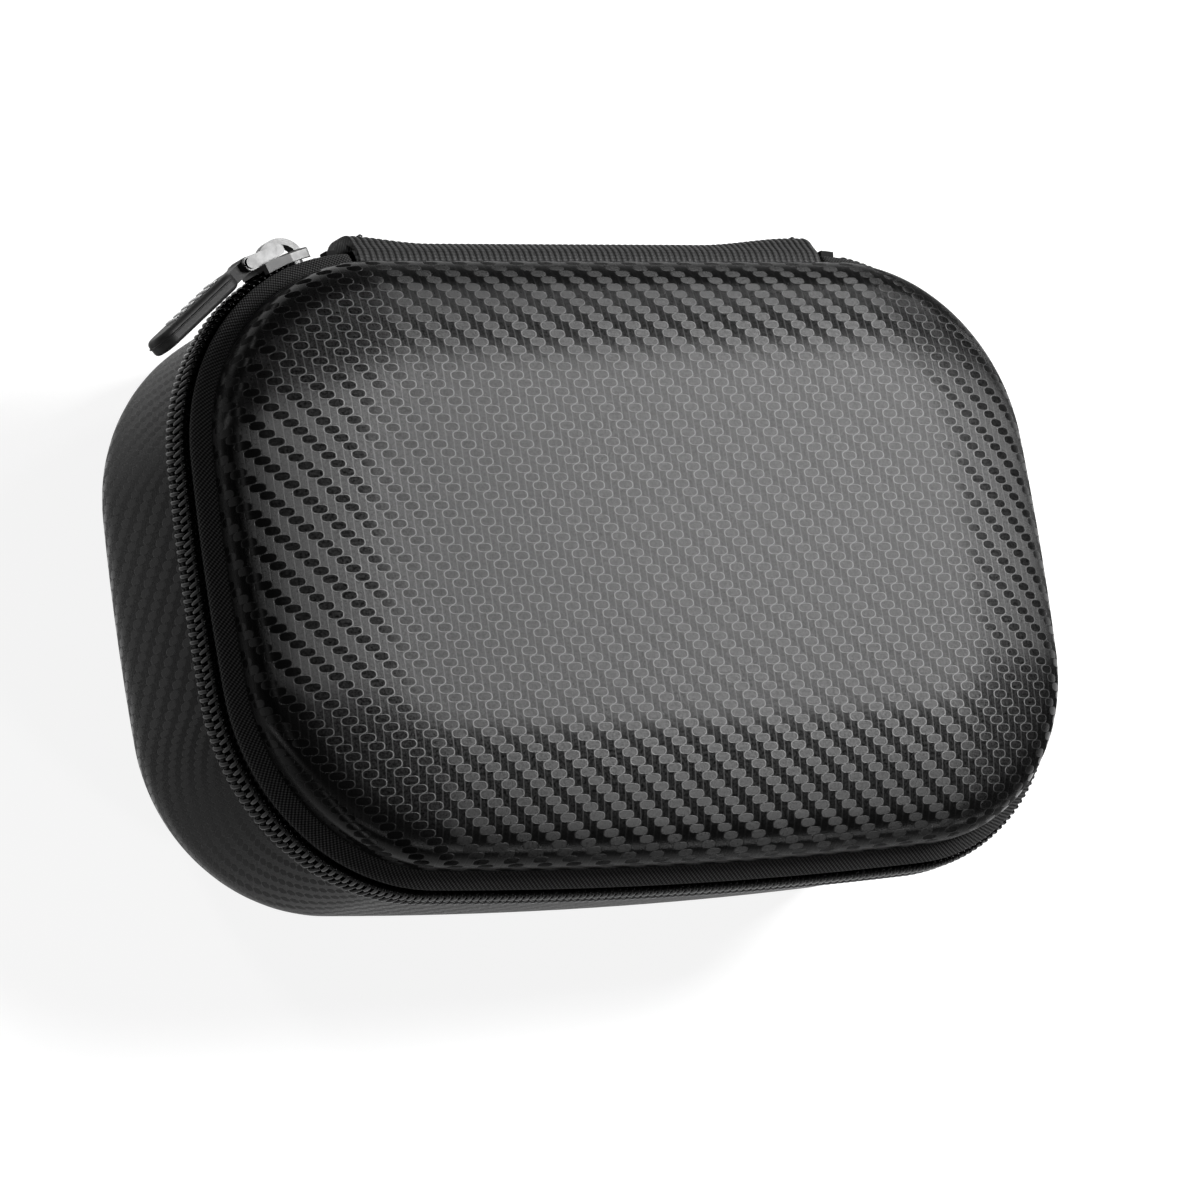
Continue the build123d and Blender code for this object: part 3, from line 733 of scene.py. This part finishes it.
# ---- hinge ribbon --------------------------------------------------------------------------------
def ribbon_section():
    """A doubled tape over both flanges and the split: its outer face, then its inner one."""
    inner = RIBBON_OUT - RIBBON_T
    face = [(FLANGE_END, FLANGE_Z), (-RIM_IN - 0.3, FLANGE_Z), (-1.4, FLANGE_Z - 0.4),
            (RIBBON_OUT - 0.5, 4.2), (RIBBON_OUT, 3.0), (RIBBON_OUT, 1.5)]
    back = [(inner, 1.5), (inner, 2.8), (inner - 0.6, 3.8), (-2.0, FLANGE_Z - 1.4),
            (-RIM_IN - 0.3, FLANGE_Z - TAPE_T), (FLANGE_END, FLANGE_Z - TAPE_T)]
    lower_face = [(x, -z) for x, z in reversed(face)]
    lower_back = [(x, -z) for x, z in reversed(back)]
    fine = rounded(face + lower_face + lower_back + back)
    return np.stack([fine[:, 0], SPLIT_Z + fine[:, 1]], 1)


def ease(share):
    """0 to 1 with a soft start and end."""
    share = np.clip(share, 0, 1)
    return share * share * (3 - 2 * share)


def ribbed(marks, section):
    """Cross ribs on the outer face and a doubled, puckered end at each side."""
    face_from, face_ramp = -2.6, 1.6            # outward, where the outer face begins
    outer_from, outer_ramp = 0.1, 0.6           # outward of the ribbon's inner face
    pucker_half_height, slope_from, slope_share = 4.2, 3.6, 0.6
    total = HINGE_RUN.length
    sections = np.tile(section, (len(marks), 1, 1))
    outward, height = section[:, 0], np.abs(section[:, 1] - SPLIT_Z)
    right = ease((RIBBON_RIGHT_TAPER - marks) / (RIBBON_RIGHT_TAPER - RIBBON_RIGHT_FULL))
    left = ease((RIBBON_LEFT_TAPER - (total - marks)) / RIBBON_LEFT_TAPER)
    crest = RIB_RISE * np.abs(np.sin(math.pi * marks / RIB)) ** 0.7
    middle = np.exp(-(height / pucker_half_height) ** 4)
    grow = RIBBON_END_RISE * np.maximum(left, right)[:, None] * middle[None] + crest[:, None]
    is_face = np.clip((outward - face_from) / face_ramp, 0, 1)
    is_outer = np.clip((outward - (RIBBON_OUT - RIBBON_T) - outer_from) / outer_ramp, 0, 1)
    is_outer = is_outer * is_face
    upper_slope = is_face * (height > slope_from)
    sections[:, :, 0] += grow * np.maximum(is_outer, slope_share * upper_slope)[None]
    return sections


def bend_with_hinge(piece):
    """Bake a piece's place into its mesh."""
    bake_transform(piece)


hinge_section = ribbon_section()
ribbon = sweep("woven_hinge_ribbon", [HINGE_RUN], hinge_section, RIB / 8, shape=ribbed)
finish_with(ribbon, "ribbon")
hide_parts("hinge_ribbon")
strip_outer, strip_inner = -3.55, -4.35         # the strip's heights are from the floor
strip_section = rounded([(strip_inner, 37.0), (strip_outer, 37.0), (strip_outer, 39.5),
                         (strip_outer, 43.5), (strip_outer, 46.0), (strip_inner, 46.0),
                         (strip_inner, 43.5), (strip_inner, 39.5)])
inner_strip = sweep("hinge_cloth_strip", [HINGE_RUN], strip_section, spacing=1.5)
finish_with(inner_strip, "binding")
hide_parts("hinge_inner_strip")
bend_with_hinge(ribbon)
bend_with_hinge(inner_strip)


# ---- stitches ------------------------------------------------------------------------------------
STITCH_SINK = 0.6           # how far a stitch's ends dip, as a share of its lift


def stitch(start, end, lift, radius=0.16, count=7):
    """One thread that dips in at both ends."""
    share = np.linspace(0, 1, count)
    rise = np.sin(math.pi * share) - STITCH_SINK
    path = start + (end - start) * share[:, None] + np.outer(rise, lift)
    side = np.tile(np.cross(end - start, lift), (count, 1))
    return tube_parts(path, side, radius, 6)


def rim_stitches(up):
    """Stitches round a rim, on the side of its binding that faces the split."""
    z = SPLIT_Z + up * (FLANGE_Z - TAPE_T - BINDING_GAP - BINDING_T - BINDING_GAP)
    total = total_length(OUTLINE)
    count = int(total / SEAM_PITCH)
    begin = np.arange(count) * total / count
    lift = np.array([0, 0, -up * RIM_STITCH_LIFT])
    first, first_out = place(OUTLINE, begin)
    last, last_out = place(OUTLINE, begin + SEAM_STITCH)
    first, last = first - SEAM_IN * first_out, last - SEAM_IN * last_out
    return join([stitch(np.array([*p, z]), np.array([*q, z]), lift) for p, q in zip(first, last)])


def bar_tack_stitches():
    """A row of slanting stitches up each doubled end of the ribbon."""
    y = HALF_DEPTH + RIBBON_OUT + RIBBON_END_RISE + 0.1
    half_row, in_row, slant, half_rise = 2.7, 10, 0.9, 0.25
    from_right, from_left, lift = 2.2, 3.1, np.array([0, 0.12, 0])
    parts = []
    for along in (from_right, HINGE_RUN.length - from_left):
        x = HINGE_RUN.x - along
        for z in np.linspace(SPLIT_Z - half_row, SPLIT_Z + half_row, in_row):
            start, end = np.array([x, y, z - half_rise]), np.array([x - slant, y, z + half_rise])
            parts.append(stitch(start, end, lift, radius=0.14, count=5))
    return join(parts)


for body, up in HALVES:
    thread = make_mesh(f"{body}_rim_stitches", *rim_stitches(up))
    stand_for(thread, "thread", body, f"{body}_seam_thread")

bar_tacks = finish_with(make_mesh("ribbon_bar_tacks", *bar_tack_stitches()), "thread")
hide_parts("ribbon_stitching")
bend_with_hinge(bar_tacks)


# ---- pocket --------------------------------------------------------------------------------------
def pocket_edge():
    """Distance from the centre to the pocket's sewn edge, as a function of direction."""
    flat, out = place(OUTLINE, stations(OUTLINE, OUTLINE_SPACING)[:-1])
    rim = flat - out * POCKET_IN
    angle = np.arctan2(rim[:, 1], rim[:, 0])
    order = np.argsort(angle)
    distance = np.linalg.norm(rim, axis=1)[order]
    return lambda a: np.interp(a, angle[order], distance, period=2 * math.pi)


REACH = pocket_edge()


def net():
    """Diamond cells that fill the pocket, sagging a little and cut off at its sewn edge."""
    half = NET_CELL / 2
    low, high = POCKET_FRONT, HALF_DEPTH - POCKET_IN
    columns, rows = int(HALF_LENGTH / half) + 2, int((high - low) / half) + 2
    corners, faces, index = [], [], {}

    def corner(i, j):
        if (i, j) not in index:
            x, y = i * half, min(low + j * half, high)
            limit = REACH(math.atan2(y, x))
            away = math.hypot(x, y)
            if away > limit:
                x, y = x * limit / away, y * limit / away
            sag = NET_SAG * math.cos(math.pi * x / NET_SAG_LENGTH)
            sag *= math.cos(math.pi * (y - NET_SAG_Y) / NET_SAG_DEPTH)
            index[i, j] = len(corners)
            corners.append((x, y, NET_Z - sag))
        return index[i, j]

    for i in range(-columns, columns):
        for j in range(1, rows):
            if (i + j) % 2:
                continue
            x, y = i * half, low + j * half
            if math.hypot(x, y) < REACH(math.atan2(y, x)) and y < high:
                around = ((i - 1, j), (i, j - 1), (i + 1, j), (i, j + 1))
                faces.append([corner(*place_in_net) for place_in_net in around])
    piece = make_mesh("pocket_net", corners, faces)
    strands = piece.modifiers.new("strands", "WIREFRAME")
    strands.thickness = NET_THREAD * MM
    strands.use_even_offset = False
    return piece


def elastic_edge():
    """Ribbed elastic band along the pocket's front, gathered along its length."""
    low, high = POCKET_FRONT - ELASTIC_W, POCKET_FRONT - 0.02
    columns, rows, gathers = 420, 13, 46
    half_thick, rib_rise, rows_in_rib, gather_rise = 0.32, 0.1, 3, 0.07
    steps_to_settle = 20

    def half_width(y):
        x = HALF_LENGTH - POCKET_IN
        for _ in range(steps_to_settle):
            x = math.sqrt(max(REACH(math.atan2(y, x)) ** 2 - y * y, 1.0))
        return x

    share = np.linspace(-1, 1, columns)
    gather = gather_rise * np.sin(2 * math.pi * share * gathers)
    points = []
    for level in (1, -1):
        for j in range(rows):
            y = low + (high - low) * j / (rows - 1)
            rib = rib_rise * math.cos(2 * math.pi * j / rows_in_rib)
            z = NET_Z + level * (half_thick + rib + gather)
            points.append(np.stack([share * half_width(y), np.full(columns, y), z], 1))
    points = points[:rows] + points[:rows - 1:-1]
    total = len(points)
    a, b = grid_corners(total, columns - 1)
    faces = ((a % total) * columns + b).tolist()
    for column in (0, columns - 1):
        faces.append([r * columns + column for r in range(total)])
    return make_mesh("pocket_elastic_band", np.vstack(points), faces)


pocket = stand_for(net(), "mesh", "lid", "mesh_pocket")
band = stand_for(elastic_edge(), "elastic", "lid", "pocket_elastic")


# ---- slider and pull -----------------------------------------------------------------------------
for node, slot, bevel in (("slider_body", "slider_metal", None),
                          ("slider_crown", "slider_metal", None),
                          ("pull_link", "pull_metal", None), ("pull_pin", "pull_metal", None),
                          ("pull_tab", "tab_rubber", 0.12), ("tab_grip", "tab_grip", 0.1)):
    refinish(node, slot, bevel)


def on_tab(points):
    """Points of the tab's own frame, along it, outward and down, as points of the case."""
    lean = -TAB_TILT
    along = points[:, 0] * math.cos(lean) - points[:, 1] * math.sin(lean) + LINK_PIN[0]
    outward = points[:, 0] * math.sin(lean) + points[:, 1] * math.cos(lean) + LINK_PIN[1]
    polar = math.pi / 2 + SLIDER_AT
    out = np.array([math.cos(polar), math.sin(polar)])
    forward = np.array([-out[1], out[0]])
    start = np.array([SLIDER_CORNER.x, SLIDER_CORNER.y]) + SLIDER_CORNER.radius * out
    flat = start + along[:, None] * forward + outward[:, None] * out
    return np.column_stack([flat, SPLIT_Z - points[:, 2]])


def parting_line():
    """Thin raised line that the mould leaves round the tab's edge."""
    corner_r, steps, line_r, outward, proud = 2.6, 9, 0.17, 0.25, 0.05
    x_low, x_high, half = TAB_START + 0.3, TAB_END + proud, TAB_W / 2 + proud
    ring = []
    for cx, cz, first in ((x_high - corner_r, half - corner_r, 0),
                          (x_low + corner_r, half - corner_r, 90),
                          (x_low + corner_r, corner_r - half, 180),
                          (x_high - corner_r, corner_r - half, 270)):
        for a in np.radians(np.linspace(first, first + 90, steps)):
            ring.append((cx + corner_r * math.cos(a), outward, cz + corner_r * math.sin(a)))
    ring = np.array(ring + ring[:1])
    side = on_tab(ring + np.array([0, 1.0, 0])) - on_tab(ring)
    return make_mesh("tab_parting_line", *tube_parts(on_tab(ring), side, line_r, 6))


line = finish_with(parting_line(), "tab_rubber")
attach(line, "pull_tab")


# ---- floor, light and camera ---------------------------------------------------------------------
LAMP_HEIGHT = 0.42                      # of the four weak lamps round the case
LAMPS = (                               # name, place, target, side and watts
    ("key", (0.325, 0.145, 0.485), (0.035, 0.02, 0.058), 0.2, 8.6),
    ("front_left", (-0.70, -0.70, LAMP_HEIGHT), (0.0, 0.0, 0.0), 0.16, 2.5),
    ("front_right", (0.60, -0.80, LAMP_HEIGHT), (0.0, 0.0, 0.0), 0.16, 2.5),
    ("back_left", (-0.70, 0.70, LAMP_HEIGHT), (0.0, 0.0, 0.0), 0.16, 2.5),
    ("back_right", (0.80, 0.60, LAMP_HEIGHT), (0.0, 0.0, 0.0), 0.16, 2.5),
)
WORLD_STRENGTH = 0.04
FLOOR_HALF = 6.0
FLOOR_GLOW = 0.85                       # enough to bring the background to white
CAMERA_LENS, CAMERA_SENSOR = 196.17, 36.0
CAMERA_PLACE = (-0.5700, -0.2004, 0.9001)
CAMERA_RIGHT = (0.8414, -0.1491, 0.5194)
CAMERA_AHEAD = (0.5398, 0.1873, -0.8207)


def area_light(name, position, target, side, power):
    """A square white lamp."""
    light = bpy.data.lights.new(name, "AREA")
    light.shape = "RECTANGLE"
    light.size = light.size_y = side
    light.energy = power
    light.color = (1, 1, 1)
    lamp = bpy.data.objects.new(name, light)
    lamp.location = position
    towards = Vector(target) - Vector(position)
    lamp.rotation_euler = towards.to_track_quat("-Z", "Y").to_euler()
    bpy.context.scene.collection.objects.link(lamp)


def studio_floor():
    """A wide white floor that gives off a little light."""
    mesh = bpy.data.meshes.new("studio_floor")
    corners = [(FLOOR_HALF * x, FLOOR_HALF * y, 0) for x, y in ((-1, -1), (1, -1), (1, 1), (-1, 1))]
    mesh.from_pydata(corners, [], [(0, 1, 2, 3)])
    floor = bpy.data.objects.new("studio_floor", mesh)
    bpy.context.scene.collection.objects.link(floor)
    f = Finish("studio_floor", (0.2, 0.2, 0.2), 0.75, Specular_IOR_Level=0.1,
               Emission_Strength=FLOOR_GLOW)
    f.into("Base Color", f.blend(f.noise(f.coordinates("Object"), 3.0), grey(0.20), grey(0.22)))
    f.into("Emission Color", grey(1.0))
    mesh.materials.append(f.material)


studio_floor()
world = bpy.data.worlds.new("studio")
world.use_nodes = True
backdrop = world.node_tree.nodes["Background"]
backdrop.inputs["Color"].default_value = grey(1)
backdrop.inputs["Strength"].default_value = WORLD_STRENGTH
bpy.context.scene.world = world
for lamp_settings in LAMPS:
    area_light(*lamp_settings)

camera_data = bpy.data.cameras.new("camera")
camera_data.sensor_width = CAMERA_SENSOR
camera_data.lens = CAMERA_LENS
camera_data.clip_start = 0.05
camera = bpy.data.objects.new("camera", camera_data)
right = Vector(CAMERA_RIGHT).normalized()
ahead = Vector(CAMERA_AHEAD).normalized()
above = right.cross(ahead).normalized()
turn = Matrix((right, above, -ahead)).transposed().to_4x4()
camera.matrix_world = Matrix.Translation(CAMERA_PLACE) @ turn
bpy.context.scene.collection.objects.link(camera)
bpy.context.scene.camera = camera
bpy.context.scene.view_settings.view_transform = "Standard"
